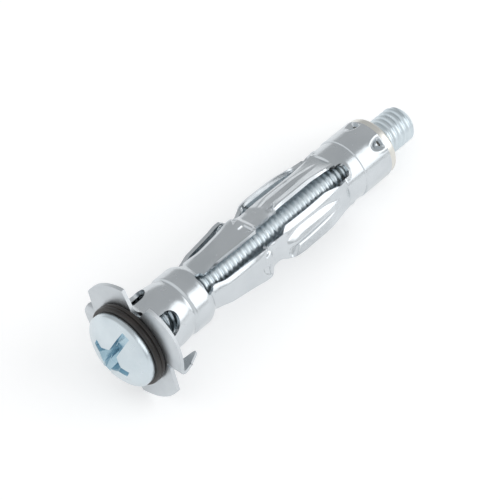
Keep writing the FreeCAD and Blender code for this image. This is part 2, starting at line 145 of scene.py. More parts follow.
class NodeSheet:
    """A small helper that places and joins the nodes of one material."""

    def __init__(self, name: str) -> None:
        """Starts an empty material with its surface shader.

        Args:
            name: The material's name.
        """
        self.material = bpy.data.materials.new(name)
        self.material.use_nodes = True
        self.tree = self.material.node_tree
        self.tree.nodes.clear()
        output = self.tree.nodes.new("ShaderNodeOutputMaterial")
        self.shader = self.tree.nodes.new("ShaderNodeBsdfPrincipled")
        self.join(self.shader.outputs["BSDF"], output.inputs["Surface"])
        self.places = self.tree.nodes.new("ShaderNodeTexCoord").outputs["Object"]

    def join(self, source: bpy.types.NodeSocket, target: bpy.types.NodeSocket) -> None:
        """Joins two sockets."""
        self.tree.links.new(source, target)

    def stretched(self, scale: tuple[float, float, float]) -> bpy.types.NodeSocket:
        """Object coordinates, scaled.

        Args:
            scale: The scale along X, Y and Z, per metre.

        Returns:
            The socket with the scaled coordinates.
        """
        mapping = self.tree.nodes.new("ShaderNodeMapping")
        mapping.inputs["Scale"].default_value = scale
        self.join(self.places, mapping.inputs["Vector"])
        return mapping.outputs["Vector"]

    def noise(self, scale: tuple[float, float, float], detail: float, roughness: float) -> bpy.types.NodeSocket:
        """A noise pattern.

        Args:
            scale: Grains per metre along X, Y and Z.
            detail: How many finer layers it has.
            roughness: How strong the finer layers are.

        Returns:
            The socket with the pattern, from 0 to 1.
        """
        noise = self.tree.nodes.new("ShaderNodeTexNoise")
        noise.inputs["Scale"].default_value = 1.0
        noise.inputs["Detail"].default_value = detail
        noise.inputs["Roughness"].default_value = roughness
        self.join(self.stretched(scale), noise.inputs["Vector"])
        return noise.outputs["Fac"]

    def spread(self, source: bpy.types.NodeSocket, low: float, high: float) -> bpy.types.NodeSocket:
        """A pattern brought from its middle range to a range of values."""
        span = self.tree.nodes.new("ShaderNodeMapRange")
        span.inputs["From Min"].default_value = 0.3
        span.inputs["From Max"].default_value = 0.7
        span.inputs["To Min"].default_value = low
        span.inputs["To Max"].default_value = high
        self.join(source, span.inputs["Value"])
        return span.outputs["Result"]

    def fall_along_axis(self, place: float, height: float, run: float = 0.0015) -> bpy.types.NodeSocket:
        """A value that falls to nothing before a place on the axis.

        Args:
            place: Where it has reached nothing, in metres.
            height: The value in front of the fall.
            run: How long the fall is, in metres.

        Returns:
            The socket with the value.
        """
        split = self.tree.nodes.new("ShaderNodeSeparateXYZ")
        self.join(self.places, split.inputs["Vector"])
        fall = self.tree.nodes.new("ShaderNodeMapRange")
        fall.inputs["From Min"].default_value = place - run
        fall.inputs["From Max"].default_value = place
        fall.inputs["To Min"].default_value = height
        fall.inputs["To Max"].default_value = 0.0
        self.join(split.outputs["Y"], fall.inputs["Value"])
        return fall.outputs["Result"]

    def sum(self, first: bpy.types.NodeSocket, second: bpy.types.NodeSocket) -> bpy.types.NodeSocket:
        """Two values added."""
        both = self.tree.nodes.new("ShaderNodeMath")
        both.operation = "ADD"
        self.join(first, both.inputs[0])
        self.join(second, both.inputs[1])
        return both.outputs[0]

    def blended(
        self, share: bpy.types.NodeSocket, first: tuple[float, float, float], second: tuple[float, float, float]
    ) -> bpy.types.NodeSocket:
        """Two colours mixed by a pattern."""
        mix = self.tree.nodes.new("ShaderNodeMix")
        mix.data_type = "RGBA"
        mix.inputs["A"].default_value = (*first, 1.0)
        mix.inputs["B"].default_value = (*second, 1.0)
        self.join(share, mix.inputs["Factor"])
        return mix.outputs["Result"]

    def bumped(
        self, height: bpy.types.NodeSocket, depth: float, strength: float, below: bpy.types.NodeSocket | None = None
    ) -> bpy.types.NodeSocket:
        """Normals raised by a pattern.

        Args:
            height: The pattern.
            depth: The height of the pattern in metres.
            strength: How much of it shows.
            below: Normals of a coarser pattern, if any.

        Returns:
            The socket with the normals.
        """
        bump = self.tree.nodes.new("ShaderNodeBump")
        bump.inputs["Strength"].default_value = strength
        bump.inputs["Distance"].default_value = depth
        self.join(height, bump.inputs["Height"])
        if below is not None:
            self.join(below, bump.inputs["Normal"])
        return bump.outputs["Normal"]


@dataclass(frozen=True)
class ZincPlate:
    """Bright zinc on steel: a thin soft layer with a faint grain, clouds of tone and fine handling marks."""

    name: str
    bright: tuple[float, float, float]
    dull: tuple[float, float, float]
    roughness_low: float
    roughness_high: float
    grain: tuple[float, float, float] = (2600.0, 420.0, 2600.0)
    grain_depth: float = 0.000004
    duller_before: float = -1.0
    duller_by: float = 0.16
    cloud_grain: tuple[float, float, float] = (180.0, 110.0, 180.0)
    mark_grain: tuple[float, float, float] = (900.0, 700.0, 900.0)
    mark_depth: float = 0.00001

    def material(self) -> bpy.types.Material:
        """Builds the finish as a material."""
        sheet = NodeSheet(self.name)
        clouds = sheet.noise(self.cloud_grain, detail=3.0, roughness=0.55)
        grain = sheet.noise(self.grain, detail=2.0, roughness=0.6)
        marks = sheet.noise(self.mark_grain, detail=4.0, roughness=0.7)
        sheet.join(
            sheet.blended(sheet.spread(clouds, 0.0, 1.0), self.bright, self.dull),
            sheet.shader.inputs["Base Color"],
        )
        worn = sheet.sum(
            sheet.spread(marks, self.roughness_low, self.roughness_high),
            sheet.fall_along_axis(self.duller_before, self.duller_by),
        )
        sheet.join(worn, sheet.shader.inputs["Roughness"])
        dents = sheet.bumped(marks, self.mark_depth, 0.25)
        sheet.join(sheet.bumped(grain, self.grain_depth, 0.35, dents), sheet.shader.inputs["Normal"])
        sheet.shader.inputs["Metallic"].default_value = 1.0
        return sheet.material


@dataclass(frozen=True)
class DarkRubber:
    """The half-gloss, dark brown-black rubber of the washer."""

    name: str = "washer_dark_rubber"
    deep: tuple[float, float, float] = (0.008, 0.0062, 0.0056)
    worn: tuple[float, float, float] = (0.024, 0.018, 0.015)
    roughness_low: float = 0.3
    roughness_high: float = 0.45

    def material(self) -> bpy.types.Material:
        """Builds the finish as a material."""
        sheet = NodeSheet(self.name)
        clouds = sheet.noise((500.0, 500.0, 500.0), detail=4.0, roughness=0.6)
        fine = sheet.noise((4000.0, 4000.0, 4000.0), detail=2.0, roughness=0.5)
        sheet.join(
            sheet.blended(sheet.spread(clouds, 0.0, 1.0), self.deep, self.worn),
            sheet.shader.inputs["Base Color"],
        )
        sheet.join(
            sheet.spread(clouds, self.roughness_low, self.roughness_high),
            sheet.shader.inputs["Roughness"],
        )
        sheet.join(sheet.bumped(fine, 0.000004, 0.4), sheet.shader.inputs["Normal"])
        return sheet.material


SLEEVE_ZINC = ZincPlate(
    "sleeve_bright_zinc", (0.64, 0.67, 0.695), (0.56, 0.595, 0.62), 0.19, 0.28, duller_before=0.0016
)
SCREW_ZINC = ZincPlate(
    "screw_bluish_zinc", (0.69, 0.755, 0.79), (0.58, 0.65, 0.69), 0.26, 0.36, (1500.0, 1500.0, 1500.0)
)
# The slot and cross of the head are the same zinc as the head. Here it is made darker and bluer as painted shade, with
# a painted tint of light bounced inside the recess.
RECESS_PAINTED_SHADE_ZINC = ZincPlate(
    "screw_recess_painted_shade", (0.50, 0.66, 0.75), (0.30, 0.44, 0.52), 0.12, 0.2, (1500.0, 1500.0, 1500.0)
)
NUT_ZINC = ZincPlate("nut_pale_zinc", (0.78, 0.77, 0.73), (0.68, 0.67, 0.63), 0.26, 0.36)


# ---------------------------------------------------------------- finishing a mesh


def to_object(form: BMesh, name: str, material: bpy.types.Material, sharp_angle: float = 32.0) -> bpy.types.Object:
    """Makes an object of a finished form, in metres, smooth but for its sharp edges.

    Args:
        form: The form in millimetres, which is freed.
        name: The object's name.
        material: Its finish.
        sharp_angle: Edges that turn by more than this stay sharp.

    Returns:
        The object, at the origin.
    """
    bmesh.ops.scale(form, vec=Vector((MM, MM, MM)), verts=form.verts)
    limit = math.radians(sharp_angle)
    for edge in form.edges:
        edge.smooth = len(edge.link_faces) == 2 and edge.calc_face_angle() < limit
    for face in form.faces:
        face.smooth = True
    mesh = bpy.data.meshes.new(name)
    form.to_mesh(mesh)
    form.free()
    mesh.materials.append(material)
    piece = bpy.data.objects.new(name, mesh)
    bpy.context.scene.collection.objects.link(piece)
    return piece


def settle(piece: bpy.types.Object, body: Body, node: str) -> None:
    """Puts a piece in place of its node, on its body."""
    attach(piece, body.value)
    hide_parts(node)


def spun(outline: list[tuple[float, float]], steps: int, closed: bool) -> BMesh:
    """Spins an outline about the axis.

    Args:
        outline: Points of (radius, y).
        steps: How many steps a full turn has.
        closed: Whether the last point joins the first.

    Returns:
        The spun form, welded, with its faces outwards.
    """
    form = bmesh.new()
    points = [form.verts.new((radius, y, 0.0)) for radius, y in outline]
    pairs = list(zip(points, points[1:]))
    if closed:
        pairs.append((points[-1], points[0]))
    edges = [form.edges.new(pair) for pair in pairs]
    bmesh.ops.spin(
        form, geom=points + edges, cent=Vector(), axis=AXIS, angle=math.tau, steps=steps, use_merge=True
    )
    bmesh.ops.remove_doubles(form, verts=form.verts, dist=1e-5)
    bmesh.ops.recalc_face_normals(form, faces=form.faces)
    return form


def rounded(outline: list[tuple[float, float]], radius: float, segments: int) -> list[tuple[float, float]]:
    """Rounds each corner of a closed outline.

    Args:
        outline: The corners.
        radius: The greatest rounding.
        segments: How many edges each rounding has.

    Returns:
        The outline with its corners replaced by short curves.
    """
    result = []
    for index, corner in enumerate(outline):
        here = Vector(corner)
        before = Vector(outline[index - 1]) - here
        after = Vector(outline[(index + 1) % len(outline)]) - here
        reach = min(radius, before.length / 2.2, after.length / 2.2)
        start, end = here + before.normalized() * reach, here + after.normalized() * reach
        for step in range(segments + 1):
            t = step / segments
            result.append(tuple(start.lerp(here, t).lerp(here.lerp(end, t), t)))
    return result


# ---------------------------------------------------------------- the sleeve


@dataclass(frozen=True)
class Gap:
    """A stamped opening in the tube, with its own corner roundings towards the collar and the tail."""

    centre: float
    half_width: float
    start: float
    end: float
    front_corner: float
    rear_corner: float
    radius: float
    skew: float = 0.0

    def depth(self, angle: float, along: float) -> float:
        """How deep a place lies in the opening; negative outside it.

        Args:
            angle: The place's angle about the axis.
            along: The place along the sheet.

        Returns:
            The depth in millimetres.
        """
        sideways = math.radians(turned_by(angle, self.centre)) * self.radius
        across = abs(sideways)
        along -= self.skew * sideways
        middle = (self.start + self.end) / 2.0
        lengthways = along - middle
        corner = self.front_corner if lengthways < 0.0 else self.rear_corner
        side = across - self.half_width + corner
        end = abs(lengthways) - (self.end - self.start) / 2.0 + corner
        outside = math.hypot(max(side, 0.0), max(end, 0.0))
        return corner - outside - min(max(side, end), 0.0)


@dataclass(frozen=True)
class WingShape:
    """An outline in the plane of the collar, given as points of (radius, angle)."""

    corners: tuple[tuple[float, float], ...]
    turn: float = 0.0

    @cached_property
    def points(self) -> list[Vector]:
        """The corners as points of the plane."""
        return [
            Vector((radius * math.cos(math.radians(angle)), radius * math.sin(math.radians(angle))))
            for radius, angle in self.corners
        ]

    def depth(self, radius: float, angle: float) -> float:
        """How deep a place lies in the outline; negative outside it.

        Args:
            radius: The place's distance from the axis.
            angle: The place's angle about the axis.

        Returns:
            The depth in millimetres.
        """
        turned = math.radians(angle - self.turn)
        place = Vector((radius * math.cos(turned), radius * math.sin(turned)))
        nearest = math.inf
        inside = False
        for start, end in zip(self.points, self.points[1:] + self.points[:1]):
            side = end - start
            offset = place - start
            share = min(max(offset.dot(side) / side.length_squared, 0.0), 1.0)
            nearest = min(nearest, (offset - side * share).length)
            if (start.y > place.y) != (end.y > place.y):
                if place.x < start.x + (place.y - start.y) / side.y * side.x:
                    inside = not inside
        return nearest if inside else -nearest


@dataclass(frozen=True)
class Collar:
    """The four wings and two claws that are stamped at the front end of the sheet."""

    rim_radius: float
    flare_radius: float
    flare_edge: float
    wide_low: float = 5.0
    wide_high: float = 71.0
    narrow_low: float = 100.0
    slant_end: float = -26.0
    wide_bow: float = 0.45
    claw_bend: float = 116.0
    claw_inner_bend: float = 0.3
    claw_neutral_bend: float = 0.52
    claw_squeeze: float = 0.62
    claw_length: float = 4.0
    claw_edge: float = 0.15

    @cached_property
    def beyond(self) -> float:
        """A radius well outside the rim."""
        return self.rim_radius * 1.4

    def open_notch(self, turn: float) -> WingShape:
        """The open notch between a wide wing and a narrow one."""
        root = self.flare_edge - 2.0
        return WingShape(
            (
                (root, self.wide_high + 6.0),
                (self.flare_edge, self.wide_high + 4.0),
                (self.rim_radius, self.wide_high),
                (self.beyond, self.wide_high),
                (self.beyond, self.narrow_low),
                (self.rim_radius, self.narrow_low),
                (self.flare_edge, self.narrow_low - 9.0),
                (root, self.narrow_low - 13.0),
            ),
            turn,
        )

    def claw_notch(self, turn: float) -> WingShape:
        """The notch from which a claw is bent out."""
        return WingShape(
            (
                (self.flare_edge, self.wide_low),
                (self.beyond, self.wide_low),
                (self.beyond, self.slant_end),
                (self.rim_radius, self.slant_end),
                (self.flare_edge + 0.5, self.wide_low - 6.0),
                (self.flare_edge + 0.1, self.wide_low - 3.5),
            ),
            turn,
        )

    def bow(self, radius: float, angle: float) -> float:
        """How far a place of a wing is bent back: the wide wings bow in their middle."""
        if radius <= self.flare_edge:
            return 0.0
        share = (angle % HALF_TURN - self.wide_low) / (self.wide_high - self.wide_low)
        if not 0.0 < share < 1.0:
            return 0.0
        out = (radius - self.flare_edge) / (self.rim_radius - self.flare_edge)
        return self.wide_bow * math.sin(math.pi * share) * out * out

    def claw_outline(self, turn: float) -> WingShape:
        """The claw while it still lies flat in its notch, from its base to its point."""
        reach = (
            (self.flare_edge + 0.4, 0.0),
            (self.flare_edge + 0.4, -1.0),
            (self.rim_radius + 0.4, -1.0),
            (self.rim_radius + 0.2, 1.3),
            (self.rim_radius - 0.12, 2.4),
            (self.rim_radius - 0.3, 3.3),
            (self.rim_radius - 0.42, 3.75),
            (self.rim_radius - 0.56, 3.95),
            (self.rim_radius - 0.74, 3.85),
            (self.rim_radius - 0.92, 3.5),
            (self.rim_radius - 1.3, 2.5),
            (self.rim_radius - 1.75, 1.5),
            (self.rim_radius - 2.1, 0.8),
        )
        squeeze = self.claw_squeeze
        return WingShape(
            tuple((radius, self.wide_low - math.degrees(out * squeeze / radius)) for radius, out in reach), turn
        )

    def fold(self, out: float) -> tuple[float, float]:
        """Bends a place of a claw back from the wing's edge.

        Args:
            out: How far it lies beyond the edge while flat.

        Returns:
            How far it then lies sideways from the edge, towards the notch, and how far back.
        """
        bend = math.radians(self.claw_bend)
        turned = min(out / self.claw_neutral_bend, bend)
        straight = max(out - self.claw_neutral_bend * bend, 0.0)
        sideways = self.claw_inner_bend * math.sin(turned) + straight * math.cos(turned)
        back = self.claw_inner_bend * (1.0 - math.cos(turned)) + straight * math.sin(turned)
        return sideways, back


@dataclass(frozen=True)
class LegForm:
    """The pressed form of a leg between two slots, the same on all four."""

    root_angle: float
    crown: Course = Course(
        (
            (12.3, 4.15), (14.0, 4.22), (16.5, 4.4), (20.0, 4.68), (22.4, 4.9), (23.0, 4.86), (24.0, 4.52),
            (25.4, 4.4), (26.3, 4.5), (27.5, 4.7), (29.5, 4.82), (34.0, 4.8), (37.0, 4.64), (39.0, 4.5),
            (40.45, 4.4),
        )
    )
    low_side: Course = Course(
        (
            (12.3, 2.1), (14.0, 2.28), (15.5, 2.39), (20.0, 2.78), (21.8, 2.95), (22.7, 2.95), (23.2, 2.68),
            (23.9, 2.08), (25.3, 1.96), (26.1, 2.2), (26.9, 2.56), (28.0, 2.62), (33.0, 2.6), (37.0, 2.5),
            (40.4, 2.36),
        )
    )
    high_side: Course = Course(
        (
            (12.3, 2.05), (14.0, 1.76), (15.5, 1.7), (18.0, 1.8), (20.0, 1.92), (22.4, 2.14), (23.2, 2.05),
            (23.9, 1.86), (25.3, 1.82), (26.3, 1.86), (27.5, 1.78), (33.0, 1.7), (37.0, 1.74), (39.0, 1.95),
            (40.4, 2.25),
        )
    )
    low_drop: Course = Course(
        ((14.0, 0.05), (20.0, 0.08), (22.6, 0.06), (24.2, 0.2), (26.0, 0.1), (28.5, 0.0), (40.0, 0.0))
    )
    high_drop: Course = Course(
        ((14.0, 0.3), (15.5, 0.42), (20.0, 0.34), (22.6, 0.26), (24.2, 0.3), (26.0, 0.1), (28.5, 0.0), (40.0, 0.0))
    )
    drop_start: float = 0.35
    tilt: Course = Course(
        ((25.0, 0.0), (26.4, 0.1), (27.6, 0.28), (29.5, 0.32), (35.0, 0.32), (38.0, 0.2), (40.4, 0.04))
    )
    wall: Course = Course(((26.2, 0.0), (27.4, 0.45), (30.0, 0.66), (36.0, 0.58), (39.0, 0.26), (40.4, 0.0)))
    wall_width: float = 0.24
    brim: Course = Course(((26.6, 0.0), (28.2, 0.85), (36.5, 0.85), (39.6, 0.0)))
    brim_turn: float = 21.5
    brim_bend: float = 0.3
    lens_height: Course = Course(
        ((26.9, 0.0), (27.6, 0.2), (28.8, 0.3), (31.0, 0.34), (34.5, 0.3), (37.0, 0.16), (39.2, 0.0))
    )
    lens_high: Course = Course(((26.9, 0.5), (28.2, 0.9), (30.0, 1.25), (34.0, 1.15), (37.5, 0.7), (39.4, 0.1)))
    lens_low: Course = Course(((26.9, -0.6), (28.2, -0.95), (30.0, -0.95), (34.0, -0.8), (37.5, -0.6), (39.4, -0.1)))
    lens_slope: float = 0.75
    darts: tuple[tuple[tuple[float, float], ...], ...] = (
        ((-0.6, 21.3), (-0.62, 22.9), (-2.9, 23.05), (-1.9, 21.6)),
        ((0.45, 21.7), (1.2, 23.5), (2.6, 23.4)),
        ((-0.7, 27.1), (-1.0, 28.8), (-2.6, 27.2), (-1.7, 26.7)),
    )
    dart_depth: float = 0.34
    dart_slope: float = 0.26
    crease_depth: float = 0.07
    crease_width: float = 0.13

    def dart(self, across: float, along: float) -> float:
        """How far the sheet is pinched in at a place beside the knee.

        Args:
            across: Sideways from the middle of the leg.
            along: The place along the axis.

        Returns:
            The depth in millimetres.
        """
        place = Vector((across, along))
        pinch = 0.0
        for corners in self.darts:
            way_round = self.turn_of(corners)
            inner = math.inf
            for start, end in zip(corners, corners[1:] + corners[:1]):
                side = Vector(end) - Vector(start)
                inner = min(inner, side.cross(place - Vector(start)) * way_round / side.length)
            pinch = max(pinch, smooth_step(inner / self.dart_slope))
        return pinch * self.dart_depth

    @staticmethod
    def turn_of(corners: tuple[tuple[float, float], ...]) -> float:
        """The sign of the way round in which the corners run."""
        area = sum(a[0] * b[1] - b[0] * a[1] for a, b in zip(corners, corners[1:] + corners[:1]))
        return math.copysign(1.0, area)

    def place(self, share: float, along: float) -> Vector:
        """Where the outside of a leg lies, with the brim that leans down beside its face.

        Args:
            share: Sideways over the sheet, from -1 at its low edge to 1 at its high edge.
            along: The place along the axis.

        Returns:
            The place as (across, height above the axis).
        """
        if share <= 0.0:
            across = share * self.low_side.at(along)
            return Vector((across, self.height(across, along)))
        edge, brim = self.high_side.at(along), self.brim.at(along)
        run = share * (edge + brim)
        if run <= edge:
            return Vector((run, self.height(run, along)))
        lean = math.atan(self.tilt.at(along))
        turned = min((run - edge) / self.brim_bend, math.radians(self.brim_turn))
        straight = max(run - edge - self.brim_bend * math.radians(self.brim_turn), 0.0)
        out = self.brim_bend * (math.sin(lean + turned) - math.sin(lean)) + straight * math.cos(lean + turned)
        down = self.brim_bend * (math.cos(lean) - math.cos(lean + turned)) + straight * math.sin(lean + turned)
        return Vector((edge + out, self.height(edge, along) - down))

    def height(self, across: float, along: float) -> float:
        """The height of the outside of a leg's face above the axis.

        Args:
            across: Sideways from the middle of the leg, positive towards rising angles.
            along: The place along the axis.

        Returns:
            The height in millimetres.
        """
        side, drop = (self.high_side, self.high_drop) if across > 0.0 else (self.low_side, self.low_drop)
        share = min(abs(across) / side.at(along), 1.0)
        height = self.crown.at(along) - drop.at(along) * max(share - self.drop_start, 0.0) ** 2 / 0.42
        height -= self.tilt.at(along) * across
        low_edge = -self.low_side.at(along)
        height -= self.wall.at(along) * smooth_step(1.0 - (across - low_edge) / self.wall_width)
        raised = self.lens_height.at(along)
        if raised > 0.0:
            high, low = self.lens_high.at(along), self.lens_low.at(along)
            slope = min(self.lens_slope, (high - low) / 2.0)
            height += raised * smooth_step((high - across) / slope) * smooth_step((across - low) / slope)
            crease = max(math.exp(-(((across - foot) / self.crease_width) ** 2)) for foot in (high, low))
            height -= self.crease_depth * crease * smooth_step(raised / 0.3)
        return height - self.dart(across, along)


@dataclass
class ExpansionSleeve:
    """The zinc-plated sheet piece: collar, neck, cup, four legs and the rear tube.

    It is made as the real one is: a flat blank is cut, its edges are trued to the stamped outlines,
    it is pressed and rolled to its form, and the sheet gets its thickness.
    """

    collar: Collar
    sheet: float
    tube_end: float
    blank_radius: float = 4.6
    seam: float = 12.0
    column_step: float = 2.0
    claw_column_step: float = 1.0
    claw_bands: tuple[tuple[float, float], ...] = ((156.0, 189.0), (336.0, 369.0))
    trued_rounds: int = 4
    smoothed_rounds: int = 14
    flare_end: float = 1.8
    first_leg: float = 12.0
    leg_form: LegForm = field(default_factory=lambda: LegForm(31.0))
    slot_angle: float = 57.0
    slot_half_angle: float = 14.0
    slot_start: float = 11.6
    slot_end: float = 41.9
    slot_end_lift: float = 0.14
    window_angle: float = 40.5
    press_start: float = 12.3
    press_run: float = 3.2
    tube_start: float = 40.55
    stakes: tuple[float, ...] = (54.0, 116.0, 234.0, 296.0)
    stake_start: float = 47.2
    stake_end: float = 49.3
    stake_half_width: float = 1.15
    stake_depth: float = 0.7
    stake_rim: float = 0.07
    rim_bevel: float = 0.07
    rim_angle: float = 55.0
    tube_radius: Course = Course(
        (
            (1.8, 4.9), (4.6, 4.93), (5.6, 4.88), (6.7, 4.74), (7.3, 4.6), (7.62, 4.54), (7.8, 4.6), (8.0, 4.79),
            (8.3, 4.82), (9.3, 4.83), (10.5, 4.84), (11.0, 4.74), (11.5, 4.5), (11.9, 4.24), (12.4, 4.15), (13.0, 4.15),
            (38.0, 4.76), (44.25, 4.76), (44.4, REAR_TUBE_RADIUS), (49.8, REAR_TUBE_RADIUS),
        )
    )

    @property
    def flat_start(self) -> float:
        """Where along the sheet the flat of the wings ends and the flare begins."""
        return self.flare_end - self.collar.flare_radius * math.pi / 2.0

    @property
    def rim(self) -> float:
        """Where along the sheet the rim of the collar lies."""
        return self.flat_start - (self.collar.rim_radius - self.collar.flare_edge)

    def rows(self) -> list[float]:
        """The places of the blank's rows along the sheet, closer where the form is finer."""
        bands = (
            (self.rim, self.flat_start, 0.2), (self.flat_start, 1.8, 0.24), (1.8, 5.4, 0.25), (5.4, 7.0, 0.3),
            (7.0, 8.4, 0.1), (8.4, 10.6, 0.3), (10.6, 12.8, 0.17), (12.8, 20.6, 0.4), (20.6, 29.2, 0.19),
            (29.2, 39.6, 0.38), (39.6, 40.3, 0.2), (40.3, 40.8, 0.08), (40.8, 42.4, 0.17), (42.4, 44.2, 0.36),
            (44.2, 44.45, 0.07), (44.45, 47.2, 0.34), (47.2, self.tube_end, 0.13),
        )
        return self.spaced(bands)

    def columns(self) -> list[float]:
        """The angles of the blank's columns, closer at the claws, from the seam once round."""
        wide, fine = self.column_step, self.claw_column_step
        first, second = self.claw_bands
        bands = (
            (self.seam, first[0], wide), (*first, fine), (first[1], second[0], wide), (*second, fine),
            (second[1], self.seam + FULL_TURN, wide),
        )
        return self.spaced(bands)

    @staticmethod
    def spaced(bands: tuple[tuple[float, float, float], ...]) -> list[float]:
        """Places spread over bands of (start, end, spacing) that follow each other."""
        places = [bands[0][0]]
        for start, end, spacing in bands:
            count = max(round((end - start) / spacing), 1)
            places += [start + (end - start) * (step + 1) / count for step in range(count)]
        return places

    def openings(self) -> list[Gap]:
        """Every opening that is stamped in the tube."""
        turns = [index * QUARTER_TURN for index in range(4)]
        half_slot = math.radians(self.slot_half_angle) * self.blank_radius
        slots = [
            Gap(self.slot_angle + turn, half_slot, self.slot_start, self.slot_end, 0.3, 0.85, self.blank_radius)
            for turn in turns
        ]
        keyholes = [Gap(self.slot_angle + turn, 1.66, 11.0, 12.6, 0.45, 0.55, radius=4.2) for turn in turns]
        windows = [
            Gap(self.window_angle + turn, 1.87, 1.4, 4.98, 0.3, 1.8, radius=4.8, skew=0.18) for turn in turns
        ]
        slits = [Gap(stake, 0.5, 49.08, 49.36, 0.12, 0.13, REAR_TUBE_RADIUS) for stake in self.stakes]
        return slots + keyholes + windows + slits

    def depth(self, place: Vector) -> float:
        """How deep a place of the blank lies in what is cut away.

        Args:
            place: The place on the blank.

        Returns:
            The depth in millimetres, negative in the sheet.
        """
        angle = self.angle_of(place)
        if place.y > self.flare_end - 1.2:
            near = (gap for gap in self.openings_kept if gap.start - 0.6 < place.y < gap.end + 0.6)
            tube = max((gap.depth(angle, place.y) for gap in near), default=-1.0)
        else:
            tube = -1.0
        if place.y > self.flare_end:
            return tube
        radius = self.collar.flare_edge - (place.y - self.flat_start)
        notches = [shape.depth(radius, angle) for shape in self.notches_kept]
        claws = [
            min(notch.depth(radius, angle), -claw.depth(radius, angle)) for notch, claw in self.claws_kept
        ]
        return max([tube, *notches, *claws])

    @cached_property
    def openings_kept(self) -> list[Gap]:
        """The openings, worked out once."""
        return self.openings()

    @cached_property
    def notches_kept(self) -> list[WingShape]:
        """The open notches, worked out once."""
        return [self.collar.open_notch(turn) for turn in (0.0, HALF_TURN)]

    @cached_property
    def claws_kept(self) -> list[tuple[WingShape, WingShape]]:
        """Each claw's notch and the claw in it, worked out once."""
        return [
            (self.collar.claw_notch(turn), self.collar.claw_outline(turn)) for turn in (0.0, HALF_TURN)
        ]

    def angle_of(self, place: Vector) -> float:
        """The angle about the axis at which a place of the blank will lie."""
        return self.seam + math.degrees(place.x / self.blank_radius)

    def blank(self) -> BMesh:
        """Makes the flat blank as a grid, across the axis along X and along the sheet on Y."""
        form = bmesh.new()
        rows, columns = self.rows(), self.columns()
        across, along = len(columns) - 1, len(rows) - 1
        bmesh.ops.create_grid(form, x_segments=across, y_segments=along, size=0.5)
        for vert in form.verts:
            turned = columns[round((vert.co.x + 0.5) * across)] - self.seam
            row = rows[round((vert.co.y + 0.5) * along)]
            vert.co = Vector((math.radians(turned) * self.blank_radius, row, 0.0))
        return form

    def stamp(self, form: BMesh) -> None:
        """Cuts the blank and trues its cut edges to the outlines.

        Args:
            form: The flat blank.
        """
        waste = [face for face in form.faces if self.depth(face.calc_center_median()) > 0.0]
        bmesh.ops.delete(form, geom=waste, context="FACES")
        high = math.tau * self.blank_radius
        free = [vert for vert in form.verts if SAME_PLACE < vert.co.x < high - SAME_PLACE]
        cut = [
            vert for vert in free
            if vert.is_boundary and self.rim + SAME_PLACE < vert.co.y < self.tube_end - SAME_PLACE
        ]
        on_rim = [
            vert for vert in free
            if abs(vert.co.y - self.rim) < SAME_PLACE and self.depth(vert.co) > -0.45 and len(vert.link_faces) < 2
        ]
        self.true_up(cut, False)
        self.true_up(on_rim, True)
        for _ in range(self.trued_rounds):
            self.even_out(cut)
            self.true_up(cut, False)
        near = set(cut)
        for _ in range(self.trued_rounds):
            near |= {other for vert in near for edge in vert.link_edges for other in edge.verts}
        loose = [vert for vert in near if not vert.is_boundary]
        for _ in range(self.smoothed_rounds):
            bmesh.ops.smooth_vert(form, verts=loose, factor=0.5, use_axis_x=True, use_axis_y=True)

    def true_up(self, verts: list[BMVert], along_rim: bool) -> None:
        """Moves verts on to the nearest stamped outline.

        Args:
            verts: The verts to move.
            along_rim: Whether they only move along the rim.
        """
        small, least_slope, longest_step = 0.01, 0.2, 0.25
        sideways, lengthways = Vector((small, 0.0, 0.0)), Vector((0.0, small, 0.0))
        for vert in verts:
            for _ in range(5):
                depth = self.depth(vert.co)
                if abs(depth) < SAME_PLACE:
                    break
                across = self.depth(vert.co + sideways) - self.depth(vert.co - sideways)
                along = 0.0 if along_rim else self.depth(vert.co + lengthways) - self.depth(vert.co - lengthways)
                slope = Vector((across, along, 0.0)) / (2.0 * small)
                if slope.length < least_slope:
                    break
                step = slope * (depth / slope.length_squared)
                if step.length > longest_step:
                    step.length = longest_step
                vert.co -= step

    def even_out(self, verts: list[BMVert]) -> None:
        """Spaces verts evenly along the cut edges that they lie on."""
        middles = []
        for vert in verts:
            beside = [edge.other_vert(vert).co for edge in vert.link_edges if edge.is_boundary]
            middles.append((beside[0] + beside[1]) / 2.0 if len(beside) == 2 else vert.co.copy())
        for vert, middle in zip(verts, middles):
            vert.co = vert.co.lerp(middle, 0.5)

    def formed(self, place: Vector) -> Vector:
        """Where a place of the flat blank lies once the sheet is pressed and rolled.

        Args:
            place: The place on the blank.

        Returns:
            The place on the outside of the sleeve.
        """
        angle, along = self.angle_of(place), place.y
        if along < self.flare_end:
            return self.on_collar(angle, along)
        radius = self.tube_radius.at(along)
        leg = round((angle - self.first_leg) / QUARTER_TURN) * QUARTER_TURN + self.first_leg
        turned = angle - leg
        share = turned / self.leg_form.root_angle
        round_place = Vector((radius * math.sin(math.radians(turned)), radius * math.cos(math.radians(turned))))
        pressed = self.pressed_share(along) if abs(share) < 1.03 else 0.0
        if pressed > 0.0:
            round_place = round_place.lerp(self.leg_form.place(share, along), pressed)
        else:
            round_place *= 1.0 + self.relief(angle, along) / radius
        outwards, sideways = math.radians(leg), round_place.x
        return Vector(
            (
                round_place.y * math.cos(outwards) - sideways * math.sin(outwards),
                along,
                round_place.y * math.sin(outwards) + sideways * math.cos(outwards),
            )
        )

    def pressed_share(self, along: float) -> float:
        """How far the sheet has left the round of the tube for the form of the legs, from 0 to 1."""
        front = smooth_step((along - self.press_start) / self.press_run)
        rear = smooth_step((self.tube_start + 0.08 - along) / 0.2)
        return front * rear

